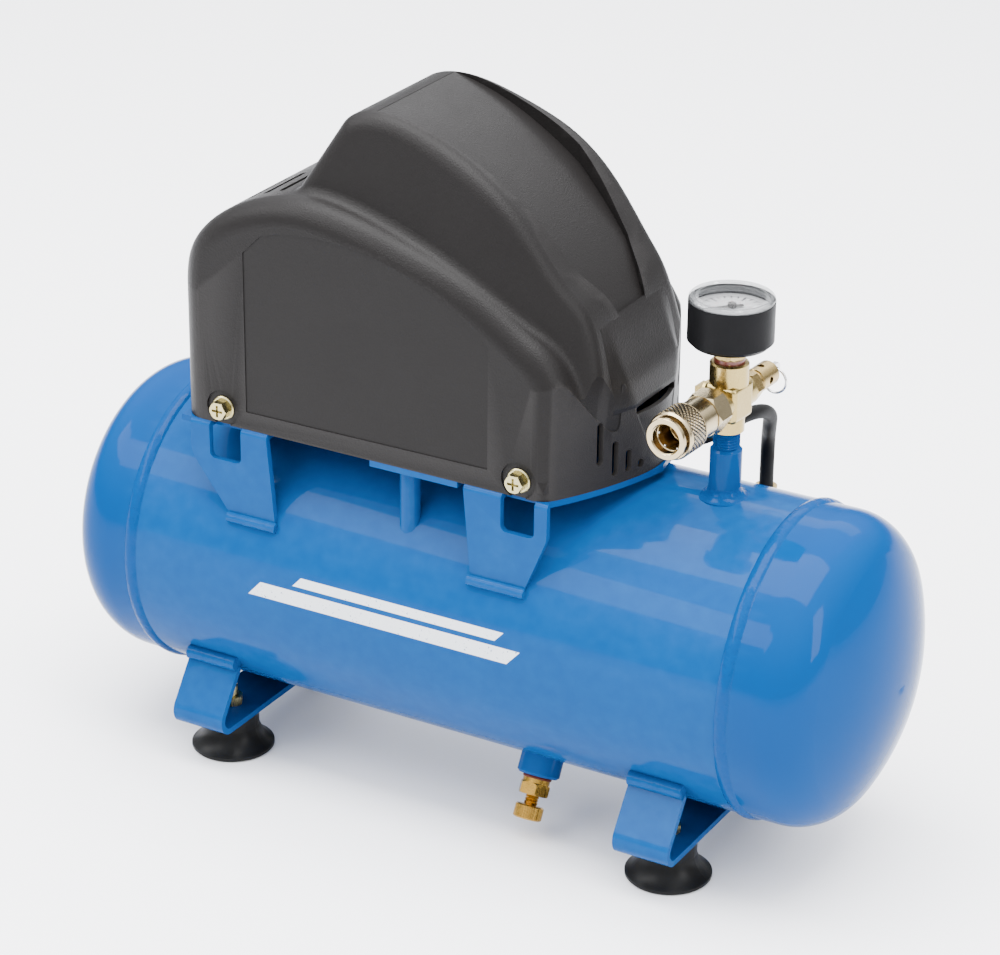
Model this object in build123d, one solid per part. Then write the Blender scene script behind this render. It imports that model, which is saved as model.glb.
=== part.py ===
from build123d import *
import math
import os

# Small oil-free compressor on a horizontal tank.
# X runs along the tank, -Y is the front, Z is up, and z = 0 is the surface under the rubber feet.
# Pieces are drawn with y = 0 on the tank's axis. save() moves them so that the origin is under
# the middle of the whole object.

# Origin
AXIS_SHIFT = 6.9

# Tank
TANK_R = 76.0
TANK_WALL = 2.0
TANK_Z = 104.0
SEAM_X = 162.4
HEAD_SKIRT = 15.0
HEAD_KNUCKLE_R = 28.0
HEAD_CROWN_R = 127.0
BEAD_WIDTH = 7.0
BEAD_HEIGHT = 1.5
BUNG_R = 10.5
INLET_BUNG_R = 9.0

# Foot straps and feet
FOOT_X = 124.1
FOOT_Y = 46.3
FOOT_R = 20.9
FOOT_NECK_R = 13.4
FOOT_HEIGHT = 20.5
STRAP_WIDTH = 29.0
STRAP_THICKNESS = 3.0
STRAP_BEND_R = 8.0
STRAP_TOP = (-61.0, 54.0)
STRAP_CORNER_Y = -84.4
FOOT_SCREW_R = 3.0
STRAP_WELD_ANGLE = 38.0

# Platform that carries the pump
PLATE_Z = 187.0
PLATE_THICKNESS = 3.0
LEG_FACE_Y = -67.5
TAB_TOP = 206.0
POST_X = -13.3
POST_Y = 55.0
POST_R = 5.0
END_X = 91.5
LEG_LEFT = (-129.5, -86.2, -107.4, -81.8)
LEG_RIGHT = (22.4, 67.0, 26.8, 55.2)
SLOT_LEFT = (-118.5, -100.7)
SLOT_RIGHT = (42.7, 60.3)
SLOT_BOTTOM = 168.5
LEG_SHOULDER = 169.0
LEG_FOOT = 140.5
TONGUE = (-29.0, 18.6)
TAB_FRONT = -62.0

# Shroud
SHROUD_LEFT = -135.5
SHROUD_HALF_DEPTH = 66.0
SHROUD_WALL = 2.5
SHROUD_TOP_LIMIT = 350.0
SHROUD_EDGE_R = 12.0
CREST_R = 9.0
RIDGE_HALF = 42.0
RIDGE_LEAN = 0.243
RIDGE_NOSE_R = 89.8
RIDGE_NOSE_X = 8.0
RIDGE_INSET = 0.4
VALLEY_R = 6.0
PANEL_DEPTH = 0.4
SCREW_Z = 195.2
SCREW_XS = (-111.4, 50.9)
SHROUD_SCREW_R = 2.5
END_VENTS = ((39.3, 199.1, 220.3), (31.0, 191.4, 209.0), (23.2, 191.4, 202.5), (15.5, 191.2, 195.6))
SHOULDER_VENT_XS = (-107.0, -98.0, -89.0)
GLAND_X = -108.0
GLAND_Z = 228.0

# Pump and motor
SHAFT_Z = 235.0
CYLINDER_X = -34.0
CRANK_THROW = 7.0
ROD_TOP = 277.3
SHAFT_R = 5.0
ISOLATOR_XS = (-22.0, 38.0)
ISOLATOR_YS = (-40.0, 40.0)
ISOLATOR_STEM_R = 3.0
ISOLATOR_TOP = 199.0
LUG_TOP = 203.0
STATOR = (-4.0, 26.0)
STATOR_R = 43.0
SLOT_COUNT = 12
ROTOR_R = 21.6
LEFT_BELL = (-19.0, -9.0)
RIGHT_BELL = (34.0, 41.0)
BEARING_R = 11.0
BEARING_WIDTH = 7.0
BOLT_RING_R = 39.0
BOLT_R = 2.0
CYLINDER_LOW = 262.0
CYLINDER_HIGH = 296.0
BORE_R = 21.0
BARREL_R = 25.0
HEAD_HALF = 27.0
HEAD_BOLT_AT = 21.5
HEAD_LOW = 299.0
HEAD_HIGH = 320.0
INTAKE_X = -47.5
OUTLET_X = -20.5
PORT_HEIGHT = 304.0
CAPACITOR_Z = 206.0
CAPACITOR_Y = -28.0
CAPACITOR_R = 14.0

# Discharge hose and check valve
HOSE_R = 3.5
HOSE_BORE_R = 2.2
HOSE_EXIT_Y = 14.0
HOSE_EXIT_Z = 194.8
INLET_SIDE_X = 105.5
HOSE_ROUTE = [
    (OUTLET_X, 22, PORT_HEIGHT), (OUTLET_X, 44.5, PORT_HEIGHT), (OUTLET_X, 52.5, 212), (58, 52.5, 206),
    (76, HOSE_EXIT_Y, HOSE_EXIT_Z), (101, HOSE_EXIT_Y, HOSE_EXIT_Z), (121, 54, 208),
    (INLET_SIDE_X, 84.5, 172), (INLET_SIDE_X, 84.5, 145),
]
HOSE_RADII = [12, 20, 18, 14, 20, 32, 22]
INLET_LIFT = 22.0
VALVE_AT = 88.0
VALVE_BORE_R = 6.0
BALL_R = 3.6

# Air outlet above the standpipe
PIPE_X = 123.6
PORT_Z = 228.0
PORT_TURN = 3.3
CROSS_BOTTOM = 213.0
CROSS_TOP = 247.0
GAUGE_BOTTOM = 255.5
GAUGE_R = 20.0
PIPE_OD = 15.1
PIPE_BORE_R = 4.5
PIPE_THREAD_R = 6.4
PIPE_SHOULDER_Z = 203.0
NEEDLE_REST = 135.0
COUPLER_HEX = 19.0
MOUTH_R = 6.9
GRIP_R = 6.6
TUBE_R = 7.8
EYE_AT = 44.0
EYE_R = 0.95
RING_R = 6.2

# Drain
DRAIN_X = 50.3
DRAIN_TILT = 29.5
DRAIN_STEM_R = 3.4
KNURL_TEETH = 36

# Clearances and common fasteners
GAP = 0.3
CUT = 400.0
FIT = 0.05
THREAD_PITCH = 1.34
NUT_FLATS = 10.0
NUT_HEIGHT = 4.5


def save(shape, name):
    # The check valve stands out at the back, so the tank's axis is a little in front of the origin.
    moved = [Pos(0, -AXIS_SHIFT, 0) * piece for piece in shape.solids()]
    placed = moved[0] if len(moved) == 1 else Compound(children=moved)
    placed.label = name
    export_step(placed, "parts/" + name + ".step")


def solid(shape):
    return shape.solids().sort_by(SortBy.VOLUME)[-1]


def cylinder_z(radius, low, high, x=0.0, y=0.0):
    body = Cylinder(radius, high - low, align=(Align.CENTER, Align.CENTER, Align.MIN))
    return Pos(x, y, low) * body


def cylinder_x(radius, low, high, y=0.0, z=0.0):
    body = Cylinder(radius, high - low, align=(Align.CENTER, Align.CENTER, Align.MIN))
    return Pos(low, y, z) * Rot(0, 90, 0) * body


def box(low, high):
    size = [h - l for l, h in zip(low, high)]
    middle = [(h + l) / 2 for l, h in zip(low, high)]
    return Pos(*middle) * Box(*size)


def hex_prism(across_flats, low, high):
    face = RegularPolygon(across_flats / math.sqrt(3), 6)
    return Pos(0, 0, low) * extrude(face, high - low)


def chamfered_hex(across_flats, low, high):
    corner_r = across_flats / math.sqrt(3)
    edge = (corner_r - across_flats / 2) * 0.8
    envelope = chamfer(cylinder_z(corner_r, low, high).edges().filter_by(GeomType.CIRCLE), edge)
    return hex_prism(across_flats, low, high) & envelope


def turned(points):
    # Solid of revolution about Z from (radius, height) points.
    outline = Polyline(*[(r, 0, z) for r, z in points], close=True)
    return revolve(make_face(outline), Axis.Z)


def tank_core(radius=TANK_R):
    return cylinder_x(radius, -CUT, CUT, 0, TANK_Z)


# ---------------------------------------------------------------- tank

def head_outline(offset_in):
    # Half section of a dished head: skirt, knuckle and crown, in (x, radius).
    knuckle = HEAD_KNUCKLE_R - offset_in
    crown = HEAD_CROWN_R - offset_in
    radius = TANK_R - offset_in
    centre_r = TANK_R - HEAD_KNUCKLE_R
    swing = HEAD_CROWN_R - HEAD_KNUCKLE_R
    half_angle = math.asin(centre_r / swing)
    crown_x = HEAD_SKIRT - math.sqrt(swing ** 2 - centre_r ** 2)
    tangent = math.pi / 2 - half_angle
    knuckle_mid = tangent / 2
    skirt_end = (HEAD_SKIRT, radius)
    knuckle_pt = (HEAD_SKIRT + knuckle * math.sin(knuckle_mid), centre_r + knuckle * math.cos(knuckle_mid))
    knuckle_end = (HEAD_SKIRT + knuckle * math.sin(tangent), centre_r + knuckle * math.cos(tangent))
    crown_pt = (crown_x + crown * math.cos(half_angle / 2), crown * math.sin(half_angle / 2))
    apex = (crown_x + crown, 0.0)
    return [(0.0, radius), skirt_end, knuckle_pt, knuckle_end, crown_pt, apex]


def head():
    out = head_outline(0.0)
    into = head_outline(TANK_WALL)
    lines = [
        Line(out[0], out[1]),
        ThreePointArc(out[1], out[2], out[3]),
        ThreePointArc(out[3], out[4], out[5]),
        Line(out[5], into[5]),
        ThreePointArc(into[5], into[4], into[3]),
        ThreePointArc(into[3], into[2], into[1]),
        Line(into[1], into[0]),
        Line(into[0], out[0]),
    ]
    return Pos(SEAM_X, 0, TANK_Z) * revolve(make_face(lines), Axis.X)


def seam_bead():
    half = BEAD_WIDTH / 2
    lines = [
        ThreePointArc((-half, TANK_R), (0, TANK_R + BEAD_HEIGHT), (half, TANK_R)),
        Line((half, TANK_R), (-half, TANK_R)),
    ]
    return Pos(SEAM_X, 0, TANK_Z) * revolve(make_face(lines), Axis.X)


def drain_place():
    # Local +Z points out of the tank, down and to the front; local z = 0 is the tank's axis.
    return Pos(DRAIN_X, 0, TANK_Z) * Rot(180 - DRAIN_TILT, 0, 0)


def tank_shell():
    shell = cylinder_x(TANK_R, -SEAM_X, SEAM_X, 0, TANK_Z)
    shell -= cylinder_x(TANK_R - TANK_WALL, -SEAM_X, SEAM_X, 0, TANK_Z)
    shell -= cylinder_z(PIPE_OD / 2, TANK_Z, TANK_Z + 100, PIPE_X)
    shell -= drain_place() * cylinder_z(BUNG_R, 60, 90)
    shell -= check_place() * cylinder_z(INLET_BUNG_R, 60, 90)
    return shell


def threaded_rod_outline(low, high, radius, depth):
    # Ridged outline in (radius, z) that stands for a screw thread.
    points = []
    count = int((high - low) / THREAD_PITCH)
    for i in range(count):
        z = low + i * THREAD_PITCH
        points.append((radius - depth, z))
        points.append((radius, z + THREAD_PITCH / 2))
    points.append((radius - depth, high))
    return points


def standpipe():
    thread = threaded_rod_outline(PIPE_SHOULDER_Z + 1.2, CROSS_BOTTOM + 8, PIPE_THREAD_R, 0.6)
    outline = [(PIPE_BORE_R, 172), (PIPE_OD / 2, 172), (PIPE_OD / 2, PIPE_SHOULDER_Z)]
    outline += thread
    outline += [(PIPE_BORE_R, CROSS_BOTTOM + 8)]
    return Pos(PIPE_X, 0, 0) * turned(outline)


def fillet_ring(inner_r, outer_r, height, low):
    # Concave weld fillet round a pipe, standing on local z = 0.
    corner = (outer_r, 0)
    middle = (inner_r + (outer_r - inner_r) * 0.3, height * 0.3)
    lines = [
        ThreePointArc((outer_r, 0), middle, (inner_r, height)),
        Line((inner_r, height), (inner_r, low)),
        Line((inner_r, low), (outer_r, low)),
        Line((outer_r, low), corner),
    ]
    return revolve(Plane.XZ * make_face(lines), Axis.Z)


def standpipe_weld():
    ring = Pos(PIPE_X, 0, TANK_Z + TANK_R - 0.5) * fillet_ring(PIPE_OD / 2, 12.5, 6.5, -4)
    return ring - tank_core()


# ---------------------------------------------------------------- drain

def drain_bung():
    bung = turned([(5.0, 70), (BUNG_R, 70), (BUNG_R, 84.3), (BUNG_R - 1.2, 85.5), (5.0, 85.5)])
    return drain_place() * bung


def drain_seal():
    return drain_place() * turned([(5.0, 85.5), (6.9, 85.5), (7.2, 86.3), (6.9, 87.0), (5.0, 87.0)])


def drain_body():
    shank = turned([(2.0, 72), (4.95, 72), (4.95, 87), (6.6, 87), (6.6, 89), (2.0, 89)])
    nut = chamfered_hex(13.8, 89, 95)
    nut -= cylinder_z(DRAIN_STEM_R + FIT, 88, 96)
    seat_bore = cylinder_z(DRAIN_STEM_R + FIT, 79, 96)
    outlet = Pos(0, 0, 92) * Rot(90, 0, 0) * cylinder_z(1.2, 0, 12)
    return drain_place() * (shank + nut - seat_bore - outlet)


def drain_seat():
    return drain_place() * cylinder_z(2.4, 79.2, 81.2)


def drain_knob():
    thread = threaded_rod_outline(82, 100, DRAIN_STEM_R, 0.4)
    stem = turned([(0, 81.2 + FIT), (2.4, 81.2 + FIT)] + thread + [(0, 100)])
    knob = chamfer(cylinder_z(7.0, 100, 107).edges().filter_by(GeomType.CIRCLE), 0.7)
    for i in range(KNURL_TEETH):
        angle = 360 * i / KNURL_TEETH
        knob -= Rot(0, 0, angle) * Pos(7.1, 0, 0) * cylinder_z(0.35, 99, 108)
    return drain_place() * (stem + knob)


# ---------------------------------------------------------------- straps and feet

def foot_strap(x):
    corner = (STRAP_CORNER_Y, FOOT_HEIGHT)
    top = STRAP_TOP
    path = [top, corner, (-corner[0], corner[1]), (-top[0], top[1])]
    slant = math.hypot(corner[0] - top[0], corner[1] - top[1])
    across = ((corner[1] - top[1]) / slant, -(corner[0] - top[0]) / slant)
    t = STRAP_THICKNESS
    inner_top = (top[0] - across[0] * t, top[1] - across[1] * t)
    # The inner corner is where the two inner faces meet.
    step = (corner[1] + t - inner_top[1]) / (corner[1] - top[1])
    inner_corner = (inner_top[0] + (corner[0] - top[0]) * step, corner[1] + t)
    inner = [inner_top, inner_corner, (-inner_corner[0], inner_corner[1]), (-inner_top[0], inner_top[1])]
    outline = Polyline(*path, *reversed(inner), close=True)
    face = make_face(outline)
    strip = Plane.YZ * face
    body = extrude(strip, STRAP_WIDTH / 2, both=True)
    for limit, radius in ((-inner_corner[0], STRAP_BEND_R - t), (-corner[0], STRAP_BEND_R)):
        bends = [e for e in body.edges().filter_by(Axis.X) if abs(abs(e.center().Y) - limit) < GAP]
        body = fillet(bends, radius)
    body = Pos(x, 0, 0) * body
    for y in (-FOOT_Y, FOOT_Y):
        body -= cylinder_z(FOOT_SCREW_R + 0.2, 10, 30, x, y)
    return body - tank_core(TANK_R + GAP)


def strap_welds():
    beads = []
    for x in (-FOOT_X, FOOT_X):
        for side in (-1, 1):
            angle = math.radians(STRAP_WELD_ANGLE)
            y = side * (TANK_R + 2.4) * math.cos(angle)
            z = TANK_Z - (TANK_R + 2.4) * math.sin(angle)
            bead = Pos(x, y, z) * Rot(0, 90, 0) * Cylinder(3.6, STRAP_WIDTH - 1)
            bead -= tank_core()
            beads.append(solid(bead - foot_strap(x)))
    return beads


def rubber_foot(x, y):
    flare = ThreePointArc((FOOT_R, 2.2), (15.6, 7.2), (FOOT_NECK_R, 12.5))
    lines = [
        Line((FOOT_R - 0.8, 0), (FOOT_R, 0.8)),
        Line((FOOT_R, 0.8), (FOOT_R, 2.2)),
        flare,
        Line((FOOT_NECK_R, 12.5), (FOOT_NECK_R, FOOT_HEIGHT)),
        Line((FOOT_NECK_R, FOOT_HEIGHT), (FOOT_SCREW_R + 0.1, FOOT_HEIGHT)),
        Line((FOOT_SCREW_R + 0.1, FOOT_HEIGHT), (FOOT_SCREW_R + 0.1, 9)),
        Line((FOOT_SCREW_R + 0.1, 9), (6.6, 9)),
        Line((6.6, 9), (6.6, 4)),
        Line((6.6, 4), (16.5, 0)),
        Line((16.5, 0), (FOOT_R - 0.8, 0)),
    ]
    return Pos(x, y, 0) * revolve(Plane.XZ * make_face(lines), Axis.Z)


def foot_places():
    return [(x, y) for x in (-FOOT_X, FOOT_X) for y in (-FOOT_Y, FOOT_Y)]


def foot_screws():
    screws = []
    for x, y in foot_places():
        screw = turned([(0, 5.4), (5.5, 5.4), (6.0, 6.4), (6.0, 9.0), (FOOT_SCREW_R, 9.0),
                        (FOOT_SCREW_R, 33.4), (FOOT_SCREW_R - 0.6, 34.0), (0, 34.0)])
        screw -= box((-4, -0.6, 5), (4, 0.6, 6.8))
        screw -= box((-0.6, -4, 5), (0.6, 4, 6.8))
        screws.append(solid(Pos(x, y, 0) * screw))
    return Compound(children=screws)


# ---------------------------------------------------------------- platform

def end_plan(inset=0.0):
    # Outline seen from above: straight at the left, a blunt bow at the right.
    y = SHROUD_HALF_DEPTH - inset
    tip = END_X - inset
    corner = 64.0 - inset
    bow = 81.5 - inset
    return [
        ThreePointArc((corner, -y), (bow, -33), (tip, 0)),
        ThreePointArc((tip, 0), (bow, 33), (corner, y)),
        Polyline((corner, y), (SHROUD_LEFT + inset, y), (SHROUD_LEFT + inset, -y), (corner, -y)),
    ]


def leg_outline(top_left, top_right, foot_left, foot_right, taper_left):
    high = PLATE_Z
    if taper_left:
        points = [(top_left, high), (top_left, LEG_SHOULDER), (foot_left, LEG_FOOT),
                  (foot_right, LEG_FOOT), (top_right, high)]
        bend = Vector(top_left, 0, LEG_SHOULDER)
    else:
        points = [(top_left, high), (foot_left, LEG_FOOT), (foot_right, LEG_FOOT),
                  (top_right, LEG_SHOULDER), (top_right, high)]
        bend = Vector(top_right, 0, LEG_SHOULDER)
    plate = extrude(Plane.XZ * make_face(Polyline(*points, close=True)), PLATE_THICKNESS)
    corner = plate.edges().filter_by(Axis.Y).sort_by_distance(bend)[0]
    return fillet(corner, 14)


def platform_legs():
    # The two front legs with their slots and the tabs bent up out of them.
    legs = []
    slots = []
    for outline, slot, taper_left in ((LEG_LEFT, SLOT_LEFT, True), (LEG_RIGHT, SLOT_RIGHT, False)):
        leg = Pos(0, LEG_FACE_Y + PLATE_THICKNESS, 0) * leg_outline(*outline, taper_left)
        rim = leg.edges().filter_by(Axis.X).sort_by_distance(Vector(outline[0], LEG_FACE_Y, PLATE_Z))[0]
        legs.append(fillet(rim, PLATE_THICKNESS - 0.2))
        tab = box((slot[0] + 0.2, TAB_FRONT, PLATE_Z - PLATE_THICKNESS),
                  (slot[1] - 0.2, TAB_FRONT + PLATE_THICKNESS, TAB_TOP))
        legs.append(fillet(tab.edges().filter_by(Axis.Y).group_by(Axis.Z)[-1], 4))
        cut = box((slot[0], LEG_FACE_Y - 1, SLOT_BOTTOM), (slot[1], TAB_FRONT, PLATE_Z + 1))
        slots.append(fillet(cut.edges().filter_by(Axis.Y).group_by(Axis.Z)[0], 3))
    return legs, slots


def platform():
    flat = Pos(0, 0, PLATE_Z - PLATE_THICKNESS) * extrude(make_face(end_plan()), PLATE_THICKNESS)
    legs, slots = platform_legs()
    body = flat
    for side in (-1, 1):
        near = min(58.0 * side, 70.0 * side)
        far = max(58.0 * side, 70.0 * side)
        body -= box((LEG_LEFT[1], near, 180), (TONGUE[0], far, 190))
        body -= box((TONGUE[1], near, 180), (LEG_RIGHT[0], far, 190))
        for leg in legs:
            body += leg if side < 0 else mirror(leg, Plane.XZ)
        for slot in slots:
            body -= slot if side < 0 else mirror(slot, Plane.XZ)
        for x in SCREW_XS:
            body -= Pos(x, side * 62, SCREW_Z) * Rot(90, 0, 0) * Cylinder(SHROUD_SCREW_R + FIT, 12)
    for x in ISOLATOR_XS:
        for y in ISOLATOR_YS:
            body -= cylinder_z(ISOLATOR_STEM_R + FIT, 180, 190, x, y)
    body -= box((-14, -26, 180), (30, 26, 190))
    return solid(body - tank_core(TANK_R + 0.2))


def platform_posts():
    posts = []
    for side in (-1, 1):
        post = cylinder_z(POST_R, 140, PLATE_Z - PLATE_THICKNESS, POST_X, side * POST_Y)
        posts.append(solid(post - tank_core()))
    return Compound(children=posts)


def platform_welds():
    # Beads along the foot of each leg and round each post.
    beads = []
    for outline in (LEG_LEFT, LEG_RIGHT):
        for side in (-1, 1):
            length = outline[3] - outline[2]
            middle = (outline[3] + outline[2]) / 2
            bead = Pos(middle, side * (abs(LEG_FACE_Y) + 0.4), LEG_FOOT - 0.8) * Rot(0, 90, 0) * Cylinder(2.6, length + 2)
            bead -= box((-CUT, min(side * 50, side * 67.5), LEG_FOOT), (CUT, max(side * 50, side * 67.5), CUT))
            beads.append(solid(bead - tank_core()))
    return beads


# ---------------------------------------------------------------- shroud

def moved_in(points, inset, first, last):
    # Shift a row of (x, z) points square to their own line by the inset.
    shifted = []
    for i, (x, z) in enumerate(points):
        before = points[i - 1] if i else None
        after = points[i + 1] if i < len(points) - 1 else None
        if before is None:
            run = first
        elif after is None:
            run = last
        else:
            run = (after[0] - before[0], after[1] - before[1])
        length = math.hypot(*run)
        shifted.append((x + run[1] / length * inset, z - run[0] / length * inset))
    return shifted


def body_profile(inset=0.0):
    first = (0, 1)
    last = (0.12, -1)
    row = [(SHROUD_LEFT, 252), (-131, 275), (-114, 292), (-93, 302), (-70, 306.5), (-45, 304),
           (-10, 294.5), (25, 281), (50, 264.5), (70, 242), (83, 216), (END_X - 1, PLATE_Z)]
    row = moved_in(row, inset, first, last)
    base = Polyline(row[-1], (row[0][0], row[-1][1]), row[0])
    return make_face([base, Spline(*row, tangents=(first, last))])


def ridge_profile(inset=0.0):
    first = (0.5, 0.87)
    last = (0.05, -1)
    row = [(-60.5, 338.5), (-52, 345), (-38, 347), (-10, 340.5), (20, 326), (43, 304.5), (60, 282),
           (75, 257), (87, 226), (END_X + 1, PLATE_Z)]
    row = moved_in(row, inset, first, last)
    sides = Polyline(row[-1], (-87 + inset, row[-1][1]), (-83 + inset, 300), row[0])
    return make_face([sides, Spline(*row, tangents=(first, last))])


def ridge_plan(spread):
    # Plan of the ridge: parallel sides that close in an arc towards the right.
    centre_y = RIDGE_HALF - RIDGE_NOSE_R
    radius = RIDGE_NOSE_R + spread
    half = RIDGE_HALF + spread
    tip_x = RIDGE_NOSE_X + math.sqrt(radius ** 2 - centre_y ** 2)
    swing = math.radians(30)
    mid_x = RIDGE_NOSE_X + radius * math.sin(swing)
    mid_y = centre_y + radius * math.cos(swing)
    back = -140 - spread
    lines = [
        ThreePointArc((RIDGE_NOSE_X, -half), (mid_x, -mid_y), (tip_x, 0)),
        ThreePointArc((tip_x, 0), (mid_x, mid_y), (RIDGE_NOSE_X, half)),
        Polyline((RIDGE_NOSE_X, half), (back, half), (back, -half), (RIDGE_NOSE_X, -half)),
    ]
    return make_face(lines)


def plan_block(inset, low):
    block = Pos(0, 0, low) * extrude(make_face(end_plan(inset)), SHROUD_TOP_LIMIT - low)
    nose = block.edges().filter_by(Axis.Z).sort_by(Axis.X)[-1]
    return fillet(nose, 60 - inset)


def in_depth(profile):
    return extrude(Plane.XZ * profile, SHROUD_HALF_DEPTH, both=True)


def lower_body(inset):
    # The wide, low part, rounded along its front and back edges.
    body = solid(in_depth(body_profile(inset)) & plan_block(inset, PLATE_Z))
    y = SHROUD_HALF_DEPTH - inset
    rims = [e for e in body.edges() if abs(abs(e.center().Y) - y) < 0.6 and e.center().Z > PLATE_Z + inset + 4]
    return fillet(rims, SHROUD_EDGE_R - inset)


def ridge(inset):
    # The tall middle ridge over the pump, with leaning sides and rounded crests.
    drop = 350 - PLATE_Z
    foot = Pos(0, 0, PLATE_Z) * ridge_plan(RIDGE_LEAN * (342 - PLATE_Z) - inset)
    head_plan = Pos(0, 0, PLATE_Z + drop) * ridge_plan(-RIDGE_LEAN * 8 - inset)
    wedge = loft([foot, head_plan], ruled=True)
    shape = wedge & in_depth(ridge_profile(inset)) & plan_block(inset + RIDGE_INSET, PLATE_Z + 4)
    shape = solid(shape)
    crests = [e for e in shape.edges() if is_crest(e)]
    return fillet(crests, CREST_R - inset)


def is_crest(edge):
    middle = edge.center()
    return middle.Z > 290 and abs(middle.Y) > 35 and edge.length > 25 and middle.X < 60


def label_recess(grow, drop):
    # The sunken panel on top of the ridge: it is deepest half way and fades out at both ends.
    half = 35.0 + grow
    narrow = 10.0 + grow
    outline = Polyline((-43 - grow, half), (-43 - grow, -half), (25, -half), (56, -half + 9),
                       (77 + grow, -narrow), (77 + grow, narrow), (56, half - 9), (25, half), close=True)
    column = Pos(0, 0, 220) * extrude(make_face(outline), 150)
    floor = Spline((-46, 347.2 - drop), (-15, 338.2 - drop), (15, 321 - drop), (45, 295.5 - drop),
                   (68, 267.5 - drop), (84, 238.5 - drop))
    above = make_face([floor, Polyline((84, 238.5 - drop), (84, 380), (-46, 380), (-46, 347.2 - drop))])
    return column & extrude(Plane.XZ * above, 60, both=True)


def valley_rounded(shape):
    # Soften the line where the ridge rises out of the lower body.
    valley = []
    for edge in shape.edges():
        middle = edge.position_at(0.5)
        beside = 44 < abs(middle.Y) < 56 and 285 < middle.Z < 310 and middle.X < 0 and edge.length > 10
        behind = middle.X < -74 and abs(middle.Y) < 40 and 303 < middle.Z < 309 and edge.length > 30
        if beside or behind:
            valley.append(edge)
    return fillet(valley, VALLEY_R)


def slot_y(x0, x1, y, low, high, width):
    # A rounded upright slot through the right end wall.
    cut = box((x0, y - width / 2, low), (x1, y + width / 2, high))
    return fillet(cut.edges().filter_by(Axis.X), width / 2 - 0.05)


def shroud():
    body = valley_rounded(solid(lower_body(0.0) + ridge(0.0))) - label_recess(0.0, 0.0)
    body -= lower_body(SHROUD_WALL)
    body -= solid(ridge(SHROUD_WALL) - label_recess(SHROUD_WALL, SHROUD_WALL))
    for y, low, high in END_VENTS:
        body -= slot_y(55, 100, -y, low, high, 3.6)
        if y > HOSE_EXIT_Y + 8:
            body -= slot_y(55, 100, y, low, high, 3.6)
    long_slot = box((70, -19, 218.6), (100, 19, 221.9))
    body -= fillet(long_slot.edges().filter_by(Axis.X), 1.6)
    for x in SHOULDER_VENT_XS:
        for side in (-1, 1):
            cut = box((x - 1.5, -17, 270), (x + 1.5, 17, 320))
            body -= Pos(0, side * 29, 0) * fillet(cut.edges().filter_by(Axis.Z), 1.45)
    for side in (-1, 1):
        for x in SCREW_XS:
            body -= Pos(x, side * 65, SCREW_Z) * Rot(90, 0, 0) * Cylinder(SHROUD_SCREW_R + GAP, 12)
            body -= Pos(x, side * (SHROUD_HALF_DEPTH + 4), SCREW_Z) * Rot(90, 0, 0) * Cylinder(9, 10)
        body -= front_panel(side)
    body -= cylinder_x(HOSE_R + 0.6, END_X - 20, END_X + 10, HOSE_EXIT_Y, HOSE_EXIT_Z)
    body -= Pos(GLAND_X, SHROUD_HALF_DEPTH, GLAND_Z) * Rot(90, 0, 0) * Cylinder(6.2 + GAP, 20)
    return solid(body)


def front_panel(side):
    # The shallow smooth panel sunk in the front face.
    outline = [
        Polyline((-88, 287), (-98, 277), (-98, 196), (34.5, 197), (34.5, 257)),
        Spline((34.5, 257), (6, 277), (-24, 288), (-52, 291.5), (-88, 287), tangents=((-1, 1), (-1, -0.35))),
    ]
    depth = PANEL_DEPTH
    panel = extrude(Plane.XZ * make_face(outline), 5)
    shift = -(SHROUD_HALF_DEPTH - depth) if side < 0 else SHROUD_HALF_DEPTH + 5 - depth
    return Pos(0, shift, 0) * panel


def shroud_screws():
    screws = []
    for side in (-1, 1):
        for x in SCREW_XS:
            head_face = SHROUD_HALF_DEPTH - 1
            screw = cylinder_z(SHROUD_SCREW_R, head_face - 10, head_face)
            flange = cylinder_z(6.0, head_face, head_face + 1.3)
            screw += chamfer(flange.edges().group_by(Axis.Z)[-1], 0.5)
            screw += chamfered_hex(8.4, head_face + 1.3, head_face + 6)
            screw -= box((-3, -0.6, head_face + 4), (3, 0.6, head_face + 7))
            screw -= box((-0.6, -3, head_face + 4), (0.6, 3, head_face + 7))
            turn = Rot(90, 0, 0) if side < 0 else Rot(-90, 0, 0)
            screws.append(solid(Pos(x, 0, SCREW_Z) * turn * screw))
    return Compound(children=screws)


def cord_gland():
    gland = cylinder_z(6.2, 60, SHROUD_HALF_DEPTH) + cylinder_z(8.0, SHROUD_HALF_DEPTH, 68.4)
    gland = chamfer(gland.edges().group_by(Axis.Z)[-1], 0.8)
    gland += chamfered_hex(15, 59.5, SHROUD_HALF_DEPTH - SHROUD_WALL - GAP)
    gland -= cylinder_z(3.2, 50, 80)
    return solid(Pos(GLAND_X, 0, GLAND_Z) * Rot(-90, 0, 0) * gland)


# ---------------------------------------------------------------- pump and motor


def isolators():
    feet = []
    for x in ISOLATOR_XS:
        for y in ISOLATOR_YS:
            puck = fillet(cylinder_z(8.0, PLATE_Z, ISOLATOR_TOP).edges().filter_by(GeomType.CIRCLE), 1.0)
            stem = cylinder_z(ISOLATOR_STEM_R, PLATE_Z - 7, LUG_TOP + 5)
            feet.append(solid(Pos(x, y, 0) * (puck + stem)))
    return Compound(children=feet)


def hex_nuts():
    # The same nut holds each rubber foot and each rubber isolator.
    places = [(x, y, FOOT_HEIGHT + STRAP_THICKNESS) for x, y in foot_places()]
    places += [(x, y, LUG_TOP) for x in ISOLATOR_XS for y in ISOLATOR_YS]
    nut = chamfered_hex(NUT_FLATS, 0, NUT_HEIGHT) - cylinder_z(FOOT_SCREW_R, -1, NUT_HEIGHT + 1)
    return Compound(children=[solid(Pos(*place) * nut) for place in places])


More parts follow.
